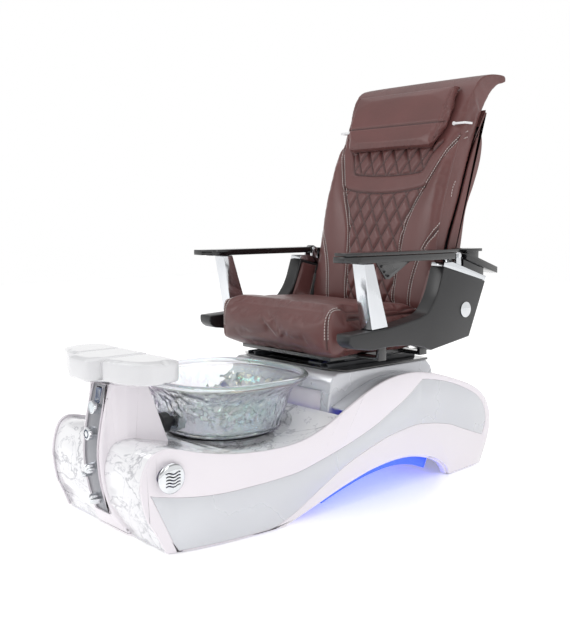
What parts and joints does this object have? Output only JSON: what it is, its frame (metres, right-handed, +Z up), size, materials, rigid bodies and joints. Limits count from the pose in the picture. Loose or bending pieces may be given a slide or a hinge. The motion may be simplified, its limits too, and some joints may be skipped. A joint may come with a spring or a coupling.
{
  "type": "pedicure spa chair",
  "caption": "Pedicure foot bath unit: curved base with a glass foot bowl, a control column with a footrest, and a sliding, reclining chair with lift-up arms.",
  "frame": {"origin": "floor level, under the middle of the bounding box", "axes": "+Z up, +Y from the footrest towards the chair, +X to the sitter's left"},
  "size_m": [0.791, 1.6382, 1.4476],
  "materials": {
    "white_gelcoat": "glossy moulded shell",
    "silver_inlay": "pearl silver coat",
    "marble_gelcoat": "glossy, white with grey marble veins",
    "dark_steel": "powder coated tube",
    "rubber_feet": "plain",
    "brushed_strip": "brushed along its length",
    "display_blue": "tinted display window",
    "chrome": "polished",
    "clear_glass": "clear, rippled, faint iridescence",
    "white_pipe": "plain pipe",
    "black_plastic": "satin black moulding",
    "brass": "plain",
    "black_steel": "gloss black paint",
    "led_blue": "lit blue strip",
    "white_cushion": "glossy white skin",
    "knob_white": "white face",
    "brown_leather": "brown upholstery with white stitching",
    "dark_leather": "dark brown upholstery",
    "polished_aluminium": "polished",
    "strap_white": "white strap"
  },
  "bodies": {
    "base": {"side_panel_left": "white_gelcoat", "side_panel_right": "white_gelcoat", "side_inlay_left": "silver_inlay", "side_inlay_right": "silver_inlay", "marble_deck": "marble_gelcoat", "saddle_skin": "silver_inlay", "underbody_pan": "white_gelcoat", "base_frame": "dark_steel", "leveling_feet": "rubber_feet", "column_shell": "white_gelcoat", "control_strip": "brushed_strip", "display_panel": "display_blue", "jet_covers": "chrome", "glass_bowl": "clear_glass", "bowl_gasket": "rubber_feet", "drain_fitting": "chrome", "drain_pipe": "white_pipe", "drain_pump": "black_plastic", "mixing_valve": "brass", "supply_pipes": "brass", "filler_spout": "chrome", "jet_motor": "black_plastic", "jet_housing": "black_plastic", "backsplash": "white_gelcoat", "pedestal_shell": "silver_inlay", "top_plate": "black_steel", "slide_rails": "dark_steel", "led_strips": "led_blue", "control_box": "black_plastic", "footrest_bracket": "dark_steel"},
    "footrest": {"footrest": "white_cushion"},
    "jet_knob": {"jet_knob": "knob_white"},
    "selector_knob": {"selector_knob": "chrome"},
    "hot_water_knob": {"hot_water_knob": "chrome"},
    "cold_water_knob": {"cold_water_knob": "chrome"},
    "diverter": {"diverter_pull": "chrome"},
    "impeller": {"jet_impeller": "black_plastic"},
    "stopper": {"drain_stopper": "chrome"},
    "seat": {"slide_carriage": "black_steel", "seat_frame": "black_steel", "seat_cushion": "brown_leather", "arm_shell_left": "black_plastic", "arm_shell_right": "black_plastic", "arm_posts": "polished_aluminium", "arm_trims": "polished_aluminium", "arm_rear_caps": "black_plastic", "arm_badges": "chrome", "arm_inner_pads": "brown_leather", "hinge_pins": "chrome"},
    "slide_lever": {"slide_lever": "dark_steel"},
    "left_armrest": {"armrest_left": "black_plastic"},
    "right_armrest": {"armrest_right": "black_plastic", "tray_bracket": "black_steel"},
    "tray": {"side_tray": "black_plastic"},
    "backrest": {"back_frame": "dark_steel", "back_cushion": "brown_leather", "rear_cover": "dark_leather", "headrest_pillow": "brown_leather", "shoulder_straps": "strap_white"},
    "massager": {"massage_unit": "black_plastic"}
  },
  "joints": [
    {"name": "footrest_slide", "type": "slide", "parent": "base", "child": "footrest", "axis": [0, -1, 0], "range_m": [0, 0.04]},
    {"name": "jet_knob_turn", "type": "hinge", "parent": "base", "child": "jet_knob", "pos_m": [0, -0.78, 0.3791], "axis": [0, -1, 0], "range_deg": [0, 270]},
    {"name": "selector_turn", "type": "hinge", "parent": "base", "child": "selector_knob", "pos_m": [-0.004, -0.79, 0.3019], "axis": [0, -1, 0], "range_deg": [-135, 135]},
    {"name": "hot_water_turn", "type": "hinge", "parent": "base", "child": "hot_water_knob", "pos_m": [0.008, -0.79, 0.202], "axis": [0, -1, 0], "range_deg": [0, 90]},
    {"name": "cold_water_turn", "type": "hinge", "parent": "base", "child": "cold_water_knob", "pos_m": [0.004, -0.76, 0.1067], "axis": [0, -1, 0], "range_deg": [0, 90]},
    {"name": "diverter_pull_out", "type": "slide", "parent": "base", "child": "diverter", "axis": [0, -1, 0], "range_m": [0, 0.009]},
    {"name": "impeller_spin", "type": "hinge", "parent": "base", "child": "impeller", "pos_m": [0, -0.4785, 0.297], "axis": [0, 1, 0], "continuous": true},
    {"name": "stopper_lift", "type": "slide", "parent": "base", "child": "stopper", "axis": [0, 0, 1], "range_m": [0, 0.009]},
    {"name": "seat_slide", "type": "slide", "parent": "base", "child": "seat", "axis": [0, -1, 0], "range_m": [-0.1, 0.06]},
    {"name": "slide_lever_lift", "type": "hinge", "parent": "seat", "child": "slide_lever", "pos_m": [0.12, 0.05437, 0.4555], "axis": [-1, 0, 0], "range_deg": [0, 8], "stiffness_Nm_per_rad": 4, "springref_deg": -17.19},
    {"name": "recline", "type": "hinge", "parent": "seat", "child": "backrest", "pos_m": [0, 0.44438, 0.5205], "axis": [-1, 0, 0], "range_deg": [0, 30]},
    {"name": "left_armrest_lift", "type": "hinge", "parent": "seat", "child": "left_armrest", "pos_m": [-0.361, 0.43838, 0.799], "axis": [-1, 0, 0], "range_deg": [0, 80]},
    {"name": "right_armrest_lift", "type": "hinge", "parent": "seat", "child": "right_armrest", "pos_m": [0.361, 0.43838, 0.799], "axis": [-1, 0, 0], "range_deg": [0, 80]},
    {"name": "tray_swing", "type": "hinge", "parent": "right_armrest", "child": "tray", "pos_m": [0.361, -0.04362, 0.8], "axis": [0, 0, -1], "range_deg": [0, 100]},
    {"name": "massage_travel", "type": "slide", "parent": "backrest", "child": "massager", "axis": [0, 0.342, 0.9397], "range_m": [-0.03, 0.03]}
  ]
}
